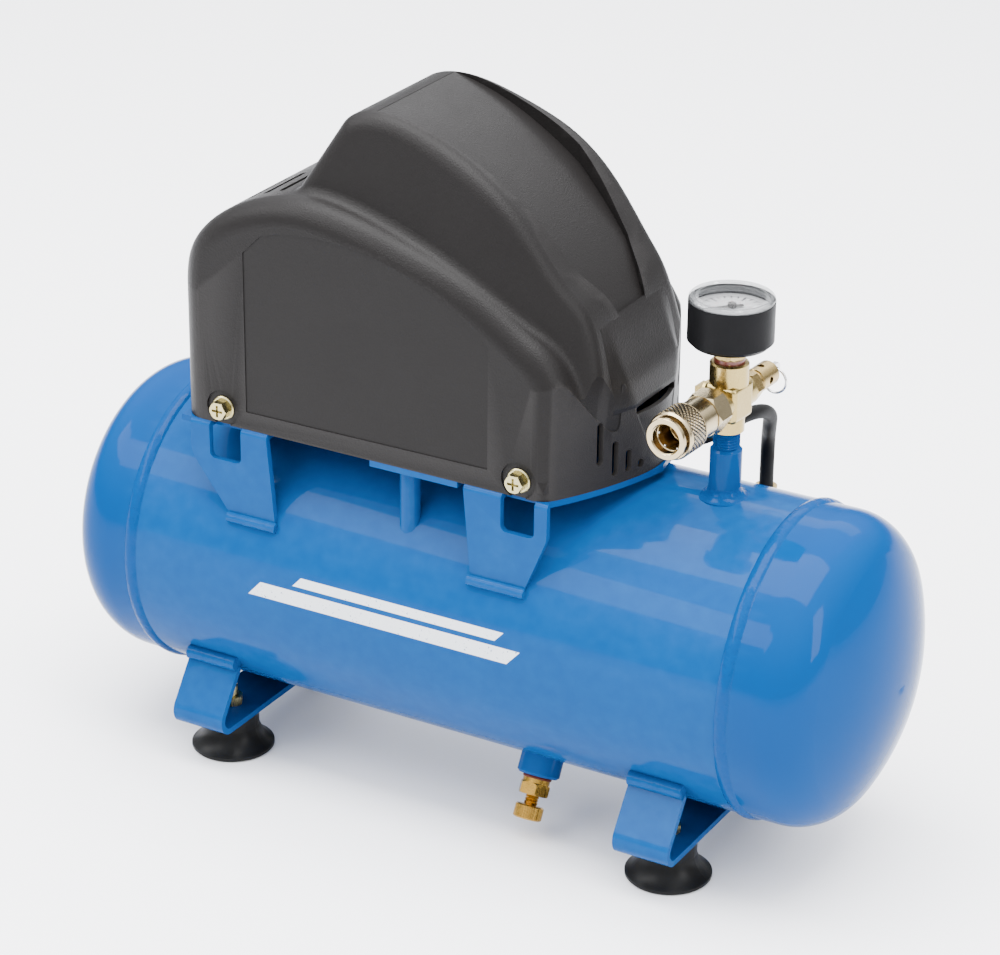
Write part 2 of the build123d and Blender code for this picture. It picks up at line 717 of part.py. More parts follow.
def bell_feet(x, low_x, high_x):
    feet = []
    for side in (-1, 1):
        near = min(side * 33, side * 47)
        far = max(side * 33, side * 47)
        feet.append(box((x - 7, near, ISOLATOR_TOP), (x + 7, far, LUG_TOP)))
        near = min(side * 27, side * 33.5)
        far = max(side * 27, side * 33.5)
        feet.append(box((low_x, near, ISOLATOR_TOP), (high_x, far, SHAFT_Z)))
    return feet


def bell_holes(low_x, high_x):
    holes = [cylinder_x(BEARING_R, low_x - 1, low_x + BEARING_WIDTH, 0, SHAFT_Z)]
    holes.append(cylinder_x(SHAFT_R + 2, low_x - 1, high_x + 40, 0, SHAFT_Z))
    for i in range(4):
        angle = math.radians(45 + 90 * i)
        y = BOLT_RING_R * math.cos(angle)
        z = SHAFT_Z + BOLT_RING_R * math.sin(angle)
        holes.append(cylinder_x(BOLT_R + 0.1, low_x - 20, high_x + 20, y, z))
    return holes


def pump_housing():
    disc = cylinder_x(STATOR_R + 0.5, *LEFT_BELL, 0, SHAFT_Z)
    disc -= box((-30, -60, CYLINDER_LOW), (0, 60, 300))
    rim = cylinder_x(STATOR_R + 0.5, LEFT_BELL[1], STATOR[0], 0, SHAFT_Z)
    rim -= cylinder_x(STATOR_R - 5.2, LEFT_BELL[1], STATOR[0], 0, SHAFT_Z)
    for i in range(4):
        rim -= Pos(-6.5, 0, SHAFT_Z) * Rot(90 * i, 0, 0) * Box(6, 22, 120)
    arm = box((CYLINDER_X - HEAD_HALF, -HEAD_HALF, CYLINDER_LOW),
              (LEFT_BELL[1], HEAD_HALF, CYLINDER_LOW + 8))
    arm += box((LEFT_BELL[0], -HEAD_HALF, SHAFT_Z), (LEFT_BELL[1], HEAD_HALF, CYLINDER_LOW + 1))
    arm -= cylinder_z(BARREL_R + FIT, CYLINDER_LOW - 1, CYLINDER_LOW + 9, CYLINDER_X)
    body = disc + rim + arm
    for foot in bell_feet(ISOLATOR_XS[0], *LEFT_BELL):
        body += foot
    for hole in bell_holes(*LEFT_BELL):
        body -= hole
    for x, y in head_bolt_places():
        body -= cylinder_z(2.2 + FIT, CYLINDER_LOW - 1, CYLINDER_LOW + 9, x, y)
    for x in ISOLATOR_XS[:1]:
        for y in ISOLATOR_YS:
            body -= cylinder_z(ISOLATOR_STEM_R + FIT, 190, 210, x, y)
    return solid(body)


def fan_end_bell():
    body = cylinder_x(STATOR_R + 0.5, *RIGHT_BELL, 0, SHAFT_Z)
    rim = cylinder_x(STATOR_R + 0.5, STATOR[1], RIGHT_BELL[0], 0, SHAFT_Z)
    rim -= cylinder_x(STATOR_R - 5.2, STATOR[1], RIGHT_BELL[0], 0, SHAFT_Z)
    for i in range(4):
        rim -= Pos(30, 0, SHAFT_Z) * Rot(90 * i, 0, 0) * Box(8.2, 22, 120)
    body += rim
    for i in range(6):
        angle = math.radians(60 * i)
        y = 25 * math.cos(angle)
        z = SHAFT_Z + 25 * math.sin(angle)
        body -= cylinder_x(7.0, RIGHT_BELL[0] - 1, RIGHT_BELL[1] + 1, y, z)
    for foot in bell_feet(ISOLATOR_XS[1], *RIGHT_BELL):
        body += foot
    for hole in bell_holes(*RIGHT_BELL):
        body -= hole
    for y in ISOLATOR_YS:
        body -= cylinder_z(ISOLATOR_STEM_R + FIT, 190, 210, ISOLATOR_XS[1], y)
    return solid(body)


def motor_bolts():
    bolts = []
    for i in range(4):
        angle = math.radians(45 + 90 * i)
        y = BOLT_RING_R * math.cos(angle)
        z = BOLT_RING_R * math.sin(angle)
        bolt = cylinder_z(BOLT_R, LEFT_BELL[0] + 3, RIGHT_BELL[1])
        bolt += chamfered_hex(6, RIGHT_BELL[1], RIGHT_BELL[1] + 2.5)
        bolts.append(solid(Pos(0, y, SHAFT_Z + z) * Rot(0, 90, 0) * bolt))
    return Compound(children=bolts)


def stator_core():
    core = cylinder_x(STATOR_R, *STATOR, 0, SHAFT_Z) - cylinder_x(ROTOR_R + 0.4, *STATOR, 0, SHAFT_Z)
    for i in range(SLOT_COUNT):
        slot = Pos((STATOR[0] + STATOR[1]) / 2, 0, SHAFT_Z) * Rot(360 * i / SLOT_COUNT, 0, 0)
        core -= slot * Pos(0, 0, 29.5) * Box(STATOR[1] - STATOR[0] + 2, 5, 9)
        core -= slot * Pos(0, 0, 24) * Box(STATOR[1] - STATOR[0] + 2, 1.6, 6)
    for i in range(4):
        angle = math.radians(45 + 90 * i)
        y = BOLT_RING_R * math.cos(angle)
        z = SHAFT_Z + BOLT_RING_R * math.sin(angle)
        core -= cylinder_x(BOLT_R + 0.1, -10, 40, y, z)
    return solid(core)


def stator_windings():
    wire = None
    for low, high in ((STATOR[0] - 4.4, STATOR[0] - GAP), (STATOR[1] + GAP, STATOR[1] + 6)):
        ring = cylinder_x(35.0, low, high, 0, SHAFT_Z) - cylinder_x(24.6, low, high, 0, SHAFT_Z)
        rims = [e for e in ring.edges().filter_by(GeomType.CIRCLE) if e.radius > 30]
        ring = fillet(rims, 1.6)
        wire = ring if wire is None else wire + ring
    for i in range(SLOT_COUNT):
        turn = Pos((STATOR[0] + STATOR[1]) / 2, 0, SHAFT_Z) * Rot(360 * i / SLOT_COUNT, 0, 0)
        wire += turn * Pos(0, 0, 29.5) * Box(STATOR[1] - STATOR[0] + 3, 4.4, 8.4)
    return solid(wire)


def rotor_core():
    core = cylinder_x(ROTOR_R, *STATOR, 0, SHAFT_Z)
    core += cylinder_x(ROTOR_R - 2, STATOR[0] - 2, STATOR[1] + 2, 0, SHAFT_Z)
    return core - cylinder_x(SHAFT_R, -20, 50, 0, SHAFT_Z)


def motor_shaft():
    shaft = cylinder_x(SHAFT_R, -27, 59, 0, SHAFT_Z)
    return chamfer(shaft.edges().filter_by(GeomType.CIRCLE), 0.6)


def bearings():
    rings = []
    for low in (LEFT_BELL[0], RIGHT_BELL[0]):
        ring = cylinder_x(BEARING_R, low, low + BEARING_WIDTH, 0, SHAFT_Z)
        ring -= cylinder_x(SHAFT_R + FIT, low, low + BEARING_WIDTH, 0, SHAFT_Z)
        for start in (low - 1, low + BEARING_WIDTH - 0.5):
            groove = cylinder_x(BEARING_R - 1.6, start, start + 1.5, 0, SHAFT_Z)
            ring -= groove - cylinder_x(SHAFT_R + 1.8, start, start + 1.5, 0, SHAFT_Z)
        rings.append(solid(ring))
    return Compound(children=rings)


def cooling_fan():
    fan = cylinder_x(10, 46, 58, 0, SHAFT_Z)
    for i in range(7):
        blade = Pos(52, 0, 0) * Rot(0, 0, 38) * Box(1.8, 14, 28)
        fan += Pos(0, 0, SHAFT_Z) * Rot(360 * i / 7, 0, 0) * Pos(0, 0, 22.5) * blade
    fan &= cylinder_x(37, 46, 58, 0, SHAFT_Z)
    return solid(fan - cylinder_x(SHAFT_R, 40, 70, 0, SHAFT_Z))


def crank_disc():
    # Balance weight with the crank pin's root; the pin stops short of the rod's bearing.
    disc = cylinder_x(10, -27, -20.5, 0, SHAFT_Z)
    weight = cylinder_x(25, -27, -20.5, 0, SHAFT_Z)
    weight &= box((-30, -30, SHAFT_Z), (-15, 30, SHAFT_Z + 30))
    disc += weight
    disc += cylinder_x(8, -27, -20.5, 0, SHAFT_Z - CRANK_THROW)
    disc += cylinder_x(4, -28.7, -27, 0, SHAFT_Z - CRANK_THROW)
    return solid(disc - cylinder_x(SHAFT_R, -27, -10, 0, SHAFT_Z))


def piston_rod():
    low = SHAFT_Z - CRANK_THROW
    rod = cylinder_x(13.5, -39.5, -29.1, 0, low)
    rod += box((-38.5, -5, low), (-30.1, 5, ROD_TOP - 3))
    rod += cylinder_z(BORE_R - 1.4, ROD_TOP - 4, ROD_TOP, CYLINDER_X)
    rod -= cylinder_x(9.5, -45, -20, 0, low)
    return solid(rod)


def rod_bearing():
    low = SHAFT_Z - CRANK_THROW
    ring = cylinder_x(9.5, -38.8, -29.8, 0, low) - cylinder_x(4.05, -38.8, -29.8, 0, low)
    for start in (-39.8, -30.3):
        groove = cylinder_x(8.2, start, start + 1.5, 0, low) - cylinder_x(5.4, start, start + 1.5, 0, low)
        ring -= groove
    return solid(ring)


def piston_cup():
    # Flanged seal on top of the rod, with its lip turned up against the bore.
    cup = cylinder_z(BORE_R - FIT, ROD_TOP, ROD_TOP + 4) - cylinder_z(BORE_R - 1.2, ROD_TOP + 1.2, ROD_TOP + 5)
    return Pos(CYLINDER_X, 0, 0) * cup


def head_bolt_places():
    return [(CYLINDER_X + a * HEAD_BOLT_AT, b * HEAD_BOLT_AT) for a in (-1, 1) for b in (-1, 1)]


def pump_cylinder():
    barrel = cylinder_z(BARREL_R, CYLINDER_LOW, CYLINDER_HIGH, CYLINDER_X)
    barrel += box((CYLINDER_X - HEAD_HALF, -HEAD_HALF, CYLINDER_HIGH - 5),
                  (CYLINDER_X + HEAD_HALF, HEAD_HALF, CYLINDER_HIGH))
    barrel += box((CYLINDER_X - BARREL_R + GAP, -HEAD_HALF, CYLINDER_LOW + 8),
                  (CYLINDER_X + BARREL_R - GAP, HEAD_HALF, CYLINDER_LOW + 12))
    barrel -= cylinder_z(BORE_R, CYLINDER_LOW - 1, CYLINDER_HIGH + 1, CYLINDER_X)
    for x, y in head_bolt_places():
        barrel -= cylinder_z(2.2 + FIT, CYLINDER_LOW - 1, CYLINDER_HIGH + 1, x, y)
    return solid(barrel)


def valve_plate():
    # The ported plate with one leaf over the outlet holes and one under the inlet holes.
    plate = box((CYLINDER_X - HEAD_HALF, -HEAD_HALF, CYLINDER_HIGH),
                (CYLINDER_X + HEAD_HALF, HEAD_HALF, HEAD_LOW))
    for x in (CYLINDER_X - 10, CYLINDER_X + 10):
        for y in (-5, 5):
            plate -= cylinder_z(2.2, CYLINDER_HIGH - 1, HEAD_LOW + 1, x, y)
    for x, y in head_bolt_places():
        plate -= cylinder_z(2.2 + FIT, CYLINDER_HIGH - 1, HEAD_LOW + 1, x, y)
    outlet = box((CYLINDER_X + 6, -15, HEAD_LOW), (CYLINDER_X + 14, 15, HEAD_LOW + 0.3))
    inlet = box((CYLINDER_X - 14, -12, CYLINDER_HIGH - 0.3), (CYLINDER_X - 6, 12, CYLINDER_HIGH))
    return Compound(children=[solid(plate), outlet, inlet])


def cylinder_head():
    head_block = box((CYLINDER_X - HEAD_HALF, -HEAD_HALF, HEAD_LOW),
                     (CYLINDER_X + HEAD_HALF, HEAD_HALF, HEAD_HIGH))
    for x in (CYLINDER_X - 13.5, CYLINDER_X + 13.5):
        head_block -= box((x - 11, -16, HEAD_LOW - 1), (x + 11, 16, HEAD_LOW + 7))
    for i in range(-4, 5):
        x = CYLINDER_X + 5.6 * i
        head_block -= box((x - 1.5, -HEAD_HALF - 1, HEAD_LOW + 11), (x + 1.5, HEAD_HALF + 1, HEAD_HIGH + 1))
    head_block -= Pos(INTAKE_X, -20, PORT_HEIGHT) * Rot(90, 0, 0) * Cylinder(3.0, 20)
    head_block -= Pos(OUTLET_X, 20, PORT_HEIGHT) * Rot(90, 0, 0) * Cylinder(HOSE_R + FIT, 20)
    for x, y in head_bolt_places():
        head_block -= cylinder_z(2.2 + FIT, HEAD_LOW - 1, HEAD_HIGH + 1, x, y)
        head_block -= cylinder_z(4.8, HEAD_LOW + 10, HEAD_HIGH + 1, x, y)
    return solid(head_block)


def head_bolts():
    bolts = []
    for x, y in head_bolt_places():
        bolt = cylinder_z(2.2, CYLINDER_LOW + 0.5, HEAD_LOW + 10)
        bolt += cylinder_z(4.2, HEAD_LOW + 10, HEAD_LOW + 14.5)
        bolt -= hex_prism(3.4, HEAD_LOW + 12, HEAD_LOW + 15)
        bolts.append(solid(Pos(x, y, 0) * bolt))
    return Compound(children=bolts)


def intake_filter():
    drum = turned([(0, 16), (2.95, 16), (2.95, 27), (4.5, 27), (4.5, 30), (10, 30.6), (10, 42), (9, 43), (0, 43)])
    drum -= turned([(0, 15), (1.8, 15), (1.8, 31), (0, 31)])
    for i in range(8):
        drum -= Rot(0, 0, 45 * i) * box((9, -1, 33), (11, 1, 40))
    return solid(Pos(INTAKE_X, 0, PORT_HEIGHT) * Rot(90, 0, 0) * drum)


def run_capacitor():
    can = fillet(cylinder_x(CAPACITOR_R, -118, -72, CAPACITOR_Y, CAPACITOR_Z).edges(), 1.5)
    for y in (-5, 5):
        can += box((-72.5, CAPACITOR_Y + y - 3, CAPACITOR_Z - 0.4), (-66, CAPACITOR_Y + y + 3, CAPACITOR_Z + 0.4))
    return solid(can)


def capacitor_clamp():
    band = cylinder_x(CAPACITOR_R + 1.6, -101, -89, CAPACITOR_Y, CAPACITOR_Z)
    band += box((-101, CAPACITOR_Y - 22, PLATE_Z), (-89, CAPACITOR_Y + 22, PLATE_Z + 1.6))
    band += box((-101, CAPACITOR_Y - 8, PLATE_Z), (-89, CAPACITOR_Y + 8, CAPACITOR_Z - 8))
    return solid(band - cylinder_x(CAPACITOR_R + 0.1, -102, -88, CAPACITOR_Y, CAPACITOR_Z))


# ---------------------------------------------------------------- air line to the tank


def discharge_hose():
    route = FilletPolyline(*HOSE_ROUTE, radius=HOSE_RADII)
    start = Plane(origin=route @ 0, z_dir=route % 0)
    ring = start * (Circle(HOSE_R) - Circle(HOSE_BORE_R))
    hose = sweep(ring, path=route)
    print("hose length", round(route.length, 1), "bend radii", HOSE_RADII)
    print("hose volume", round(hose.volume), "from its length",
          round(route.length * math.pi * (HOSE_R ** 2 - HOSE_BORE_R ** 2)))
    return solid(hose)


def check_place():
    # Local +Z points out of the tank, to the back and a little up.
    return Pos(INLET_SIDE_X, 0, TANK_Z) * Rot(-(90 - INLET_LIFT), 0, 0)


def check_bung():
    bung = turned([(5.0, 72), (INLET_BUNG_R, 72), (INLET_BUNG_R, 78.6), (INLET_BUNG_R - 1, 79.6), (5.0, 79.6)])
    return check_place() * bung


def check_valve_body():
    body = turned([(3.6, 70), (4.95, 70), (4.95, 79.6), (8.0, 79.6), (8.0, 81), (8.4, 84), (8.4, 94), (7.4, 95),
                   (0, 95), (0, 93), (VALVE_BORE_R, 93), (VALVE_BORE_R, 82), (3.6, 82)])
    body += chamfered_hex(16, 79.6, 84) - cylinder_z(7, 79, 85)
    body = check_place() * body
    y = VALVE_AT * math.cos(math.radians(INLET_LIFT))
    z = TANK_Z + VALVE_AT * math.sin(math.radians(INLET_LIFT))
    body += cylinder_z(5.5, z, 147, INLET_SIDE_X, HOSE_ROUTE[-1][1]) - check_place() * cylinder_z(7, 80, 94)
    body -= cylinder_z(HOSE_R + FIT, 145 - GAP, 150, INLET_SIDE_X, HOSE_ROUTE[-1][1])
    body -= cylinder_z(2.2, z, 150, INLET_SIDE_X, y)
    return solid(body)


def check_valve_ball():
    # Held up against the mouth of the hose's passage by the pressure in the tank.
    return check_place() * Pos(0, -(VALVE_BORE_R - BALL_R - 0.1), VALVE_AT) * Sphere(BALL_R)


# ---------------------------------------------------------------- outlet manifold

def manifold():
    body = cylinder_z(8.0, CROSS_BOTTOM, 240) + cylinder_z(9.15, 236, CROSS_TOP)
    body = chamfer(body.edges().group_by(Axis.Z)[-1], 0.8)
    block = box((-8.5, -9, 219), (8.5, 9, 237))
    body += fillet(block.edges(), 2.5)
    arms = Pos(0, 0, PORT_Z) * Rot(90, 0, 0) * Cylinder(8.0, 28)
    body += chamfer(arms.edges().filter_by(GeomType.CIRCLE), 0.8)
    body += Pos(0, 0, PORT_Z) * Rot(0, -90, 0) * cylinder_z(6.5, 0, 11.5)
    body -= cylinder_z(4.5, CROSS_BOTTOM - 1, CROSS_TOP + 1)
    body -= cylinder_z(PIPE_THREAD_R + FIT, CROSS_BOTTOM - 1, CROSS_BOTTOM + 8)
    body -= cylinder_z(6.0 + FIT, 240, CROSS_TOP + 1)
    body -= Pos(0, 0, PORT_Z) * Rot(90, 0, 0) * Cylinder(4.0, 40)
    for turn in (90, -90):
        body -= Pos(0, 0, PORT_Z) * Rot(turn, 0, 0) * cylinder_z(6.0 + FIT, 8, 15)
    body -= Pos(0, 0, PORT_Z) * Rot(0, -90, 0) * cylinder_z(4.0 + FIT, 0, 15)
    return solid(Pos(PIPE_X, 0, 0) * Rot(0, 0, -PORT_TURN) * body)


def port_plug():
    plug = cylinder_z(4.0, 5.5, 11.5) + box((-4, -4, 11.5), (4, 4, 15.5))
    return solid(Pos(PIPE_X, 0, PORT_Z) * Rot(0, 0, -PORT_TURN) * Rot(0, -90, 0) * plug)


def gauge_case():
    cup = turned([(0, GAUGE_BOTTOM), (17.8, GAUGE_BOTTOM), (GAUGE_R, GAUGE_BOTTOM + 2.2), (GAUGE_R, 276.7),
                  (18.8, 276.7), (18.8, GAUGE_BOTTOM + 2.4), (0, GAUGE_BOTTOM + 2.4)])
    cup -= cylinder_z(5.0 + FIT, 250, 260)
    return solid(Pos(PIPE_X, 0, 0) * cup)


def gauge_movement():
    # Threaded stem with its hexagon, the block inside the case and the pillar for the needle.
    stem = turned([(2.0, 240.5), (6.0, 240.5), (6.0, CROSS_TOP), (7.2, CROSS_TOP), (7.2, 249), (2.0, 249)])
    stem += chamfered_hex(13.5, 249, GAUGE_BOTTOM) - cylinder_z(2, 240, 260)
    stem += cylinder_z(5.0, GAUGE_BOTTOM, 258) + box((-6, -4, 258), (6, 4, 266))
    stem += cylinder_z(2.2, 266, 271.6)
    stem -= cylinder_z(2.0, 240, 262)
    stem -= cylinder_z(0.9 + FIT, 267, 272)
    return solid(Pos(PIPE_X, 0, 0) * stem)


def gauge_works():
    return Compound(children=[gauge_movement(), bourdon_tube()])


def bourdon_tube():
    arc = CenterArc((0, 0, 262), 12, 200, 250)
    tube = sweep(Plane(origin=arc @ 0, z_dir=arc % 0) * RectangleRounded(2.0, 5.0, 0.9), path=arc)
    lead = box((5.9, -1.2, 260.5), (12, 1.2, 263.5))
    return solid(Pos(PIPE_X, 0, 0) * Rot(0, 0, -90) * (tube + Rot(0, 0, 200) * lead))


def gauge_dial():
    disc = cylinder_z(18.4, 272.0, 272.6) - cylinder_z(1.4, 271, 274)
    return Pos(PIPE_X, 0, 0) * disc


def gauge_needle():
    hub = cylinder_z(0.9, 267.2, 273.2) + cylinder_z(2.0, 273.2, 275.0)
    blade = extrude(make_face(Polyline((-0.9, -5.5), (0.9, -5.5), (1.0, 0), (0.15, 13.8), (-0.15, 13.8),
                                       (-1.0, 0), close=True)), 0.4)
    needle = hub + Pos(0, 0, 273.4) * blade
    return solid(Pos(PIPE_X, 0, 0) * Rot(0, 0, NEEDLE_REST) * needle)


def gauge_lens():
    lens = turned([(0, 279.9), (6, 279.75), (12, 279.3), (16.5, 278.4), (17.2, 278.1), (17.6, 278.9), (19.2, 278.9),
                   (GAUGE_R - 0.2, 278.2), (GAUGE_R - 0.2, 276.7), (18.6, 276.7), (18.6, 274.0), (17.6, 274.0),
                   (17.6, 276.6), (12, 277.6), (6, 278.0), (0, 278.1)])
    return solid(Pos(PIPE_X, 0, 0) * lens)


def front_port():
    # Local +Z leaves the front of the manifold; local z = 0 is the standpipe's axis.
    return Pos(PIPE_X, 0, PORT_Z) * Rot(0, 0, -PORT_TURN) * Rot(90, 0, 0)


def rear_port():
    return Pos(PIPE_X, 0, PORT_Z) * Rot(0, 0, -PORT_TURN) * Rot(-90, 0, 0)


def coupler_body():
    body = turned([(4.0, 8.2), (6.0, 8.2), (6.0, 14), (9.0, 14), (9.0, 25), (9.5, 25.6), (9.5, 37.2), (TUBE_R, 37.8),
                   (TUBE_R, 54.5), (9.6, 54.5), (10.0, 54.9), (10.0, 56.1), (9.6, 56.5), (7.5, 56.5), (MOUTH_R, 55.9),
                   (MOUTH_R, 52), (GRIP_R, 51.7), (GRIP_R, 41), (5.0, 39.5), (5.0, 36), (6.0, 35), (6.0, 20), (4.0, 18)])
    body += chamfered_hex(COUPLER_HEX, 14, 25) - cylinder_z(8, 13, 26)
    for i in range(6):
        body -= Pos(0, 0, 50.5) * Rot(0, 0, 60 * i) * Rot(0, 90, 0) * cylinder_z(1.1, 5, 9)
    return solid(front_port() * body)


def coupler_sleeve():
    sleeve = turned([(9.5 + FIT, 37.6), (10.6, 37.6), (11.4, 38.4), (11.4, 51.6), (10.6, 52.6), (TUBE_R + FIT, 52.6),
                     (TUBE_R + FIT, 47), (9.5 + FIT, 47)])
    sleeve -= turned([(11.0, 39.6), (12, 39.6), (12, 40.2), (11.0, 40.2)])
    sleeve -= turned([(11.0, 49.8), (12, 49.8), (12, 50.4), (11.0, 50.4)])
    return solid(front_port() * sleeve)


def coil(radius, wire_r, low, high, turns):
    path = Helix((high - low) / turns, high - low, radius, center=(0, 0, low))
    return sweep(Plane(origin=path @ 0, z_dir=path % 0) * Circle(wire_r), path=path, is_frenet=True)


def coupler_springs():
    # The sleeve's spring and the poppet's, drawn at their lengths when pressed together.
    sleeve_spring = front_port() * solid(coil(8.65, 0.5, 38.5, 41.4, 2))
    poppet_spring = front_port() * solid(coil(4.6, 0.5, 21, 27, 4))
    return Compound(children=[sleeve_spring, poppet_spring])


def coupler_balls():
    balls = []
    for i in range(6):
        ball = Pos(0, 0, 50.5) * Rot(0, 0, 60 * i) * Pos(6.75, 0, 0) * Sphere(0.95)
        balls.append(front_port() * ball)
    return Compound(children=balls)


def coupler_poppet():
    poppet = cylinder_z(5.5, 31, 34.2) + cylinder_z(3.0, 34.2, 44)
    poppet += chamfer(cylinder_z(5.5, 34.2, 34.9).edges().group_by(Axis.Z)[-1], 0.6)
    return front_port() * solid(poppet)


def safety_valve_body():
    body = turned([(3.0, 8.2), (6.0, 8.2), (6.0, 14), (6.5, 14), (6.5, 20), (5.4, 20.6), (5.4, 24), (6.0, 24.4),
                   (6.0, 37.4), (5.4, 38), (1.6, 38), (1.6, 36), (4.2, 36), (4.2, 20.5), (3.0, 20.5)])
    body += chamfered_hex(14, 14, 20) - cylinder_z(5, 13, 21)
    for turn in (0, 90, 180, 270):
        body -= Pos(0, 0, 30) * Rot(0, 0, turn) * Rot(0, 90, 0) * cylinder_z(1.7, 3, 8)
    return solid(rear_port() * body)


def safety_stem():
    stem = cylinder_z(3.8, 20.5 + FIT, 23) + cylinder_z(1.5, 23, 41) + cylinder_z(3.0, 38.4, 41)
    eye = box((-1.2, -2.6, 41), (1.2, 2.6, 47)) & Pos(0, 0, 43.6) * Rot(0, 90, 0) * Cylinder(3.3, 4)
    stem += eye
    stem -= Pos(0, 0, EYE_AT) * Rot(0, 90, 0) * Cylinder(EYE_R, 6)
    return solid(rear_port() * stem)


def safety_spring():
    # Drawn at its length with the valve open.
    return rear_port() * solid(coil(3.0, 0.5, 26.6, 35.4, 6))


def pull_ring():
    ring = Pos(0, RING_R, EYE_AT) * Torus(RING_R, 0.6)
    return rear_port() * ring


def copies(shape):
    # The piece at the right and its mirror image at the left.
    return [shape, mirror(shape, Plane.YZ)]


def weld_beads():
    beads = copies(seam_bead()) + [standpipe_weld()]
    return Compound(children=beads + strap_welds() + platform_welds())


PIECES = {
    "tank_shell": tank_shell(),
    "tank_head_right": head(),
    "tank_head_left": mirror(head(), Plane.YZ),
    "weld_beads": weld_beads(),
    "standpipe": standpipe(),
    "tank_bungs": Compound(children=[solid(drain_bung()), solid(check_bung())]),
    "drain_seal": drain_seal(),
    "drain_body": drain_body(),
    "drain_seat": drain_seat(),
    "drain_knob": drain_knob(),
    "foot_strap_left": foot_strap(-FOOT_X),
    "foot_strap_right": foot_strap(FOOT_X),
    "rubber_feet": Compound(children=[rubber_foot(x, y) for x, y in foot_places()]),
    "foot_screws": foot_screws(),
    "hex_nuts": hex_nuts(),
    "platform": platform(),
    "platform_posts": platform_posts(),
    "shroud": shroud(),
    "shroud_screws": shroud_screws(),
    "cord_gland": cord_gland(),
    "rubber_isolators": isolators(),
    "pump_housing": pump_housing(),
    "fan_end_bell": fan_end_bell(),
    "motor_bolts": motor_bolts(),
    "stator_core": stator_core(),
    "stator_windings": stator_windings(),
    "rotor_core": rotor_core(),
    "motor_shaft": motor_shaft(),
    "shaft_bearings": bearings(),
    "cooling_fan": cooling_fan(),
    "crank_disc": crank_disc(),
    "piston_rod": piston_rod(),
    "rod_bearing": rod_bearing(),
    "piston_cup": piston_cup(),
    "pump_cylinder": pump_cylinder(),
    "valve_plate": valve_plate(),
    "cylinder_head": cylinder_head(),
    "head_bolts": head_bolts(),
    "intake_filter": intake_filter(),
    "run_capacitor": run_capacitor(),
    "capacitor_clamp": capacitor_clamp(),
    "discharge_hose": discharge_hose(),
    "check_valve_body": check_valve_body(),
    "check_valve_ball": check_valve_ball(),
    "manifold_cross": manifold(),
    "port_plug": port_plug(),
    "gauge_case": gauge_case(),
    "gauge_movement": gauge_works(),
    "gauge_dial": gauge_dial(),
    "gauge_needle": gauge_needle(),
    "gauge_lens": gauge_lens(),
    "coupler_body": coupler_body(),
    "coupler_sleeve": coupler_sleeve(),
    "coupler_springs": coupler_springs(),
    "coupler_balls": coupler_balls(),
    "coupler_poppet": coupler_poppet(),
    "safety_valve_body": safety_valve_body(),
    "safety_valve_stem": safety_stem(),
    "safety_valve_spring": safety_spring(),
    "safety_pull_ring": pull_ring(),
}
os.makedirs("parts", exist_ok=True)
for name, shape in PIECES.items():
    save(shape, name)
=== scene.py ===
"""Looks, floor, light and camera of the airbrush compressor.

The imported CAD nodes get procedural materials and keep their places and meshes. The one piece that is
added is the smooth nose of the shroud. Lengths are in metres, except where a comment says millimetres.
"""
import math

import bpy
from mathutils import Matrix, Vector


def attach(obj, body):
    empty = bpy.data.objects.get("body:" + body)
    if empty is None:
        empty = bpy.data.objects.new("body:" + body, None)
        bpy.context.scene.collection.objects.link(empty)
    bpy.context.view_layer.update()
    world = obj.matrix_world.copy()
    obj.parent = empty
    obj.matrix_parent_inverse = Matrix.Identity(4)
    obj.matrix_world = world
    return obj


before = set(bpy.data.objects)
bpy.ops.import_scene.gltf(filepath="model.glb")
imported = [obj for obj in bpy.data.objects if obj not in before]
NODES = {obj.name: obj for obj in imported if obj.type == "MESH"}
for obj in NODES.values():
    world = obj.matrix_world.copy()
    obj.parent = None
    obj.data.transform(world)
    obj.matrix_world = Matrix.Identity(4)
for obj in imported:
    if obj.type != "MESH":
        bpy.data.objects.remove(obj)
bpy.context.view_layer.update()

# Places in the object
AXIS_Y = -0.0069  # the plane through the middle of the tank, the shroud and the standpipe
TANK_AXIS_Z = 0.104
TANK_R = 0.076
CROSS = Vector((0.1236, AXIS_Y, 0.228))  # where the standpipe's axis meets the outlet's axis
PORT_TURN = math.radians(-3.3)  # the outlet's axis, turned away from -Y

# Blue enamel
PAINT = (0.0, 0.034, 0.138)
PAINT_LIGHT = (0.0, 0.041, 0.162)
PAINT_WORN = (0.02, 0.13, 0.34)
APEX_CLEAR = (0.006, 0.012)  # the wear fades out towards the tank's axis, at the apexes of the heads

# White mark: edges up round the tank from the height of its axis, then the left and right ends
MARK_WHITE = (0.62, 0.65, 0.68)
MARK_BARS = ((0.0115, 0.0165, -0.078, 0.034), (0.0015, 0.0092, -0.094, 0.050))
MARK_EDGE = 0.0002
MARK_SLANT = 0.9

# Shroud: the faces of its side panels lie between these distances from the middle plane
PANEL_FACE = (0.0652, 0.0657)
PANEL_EDGE = 0.0002

# Sealant round the gauge's stem: the heights over which it fades in, from below and from above
SEALANT_FOOT = (0.2462, 0.2466)
SEALANT_TOP = (0.2491, 0.2488)

# Knurl of the collar: its ends in front of the standpipe's axis, and the ridges of each of its two sets
KNURL = (0.0392, 0.0506)
KNURL_EDGE = 0.0006
KNURL_RIDGES = 30.0  # round the collar
KNURL_LEAN = 2600.0  # radians of a ridge's wave for each metre along the collar

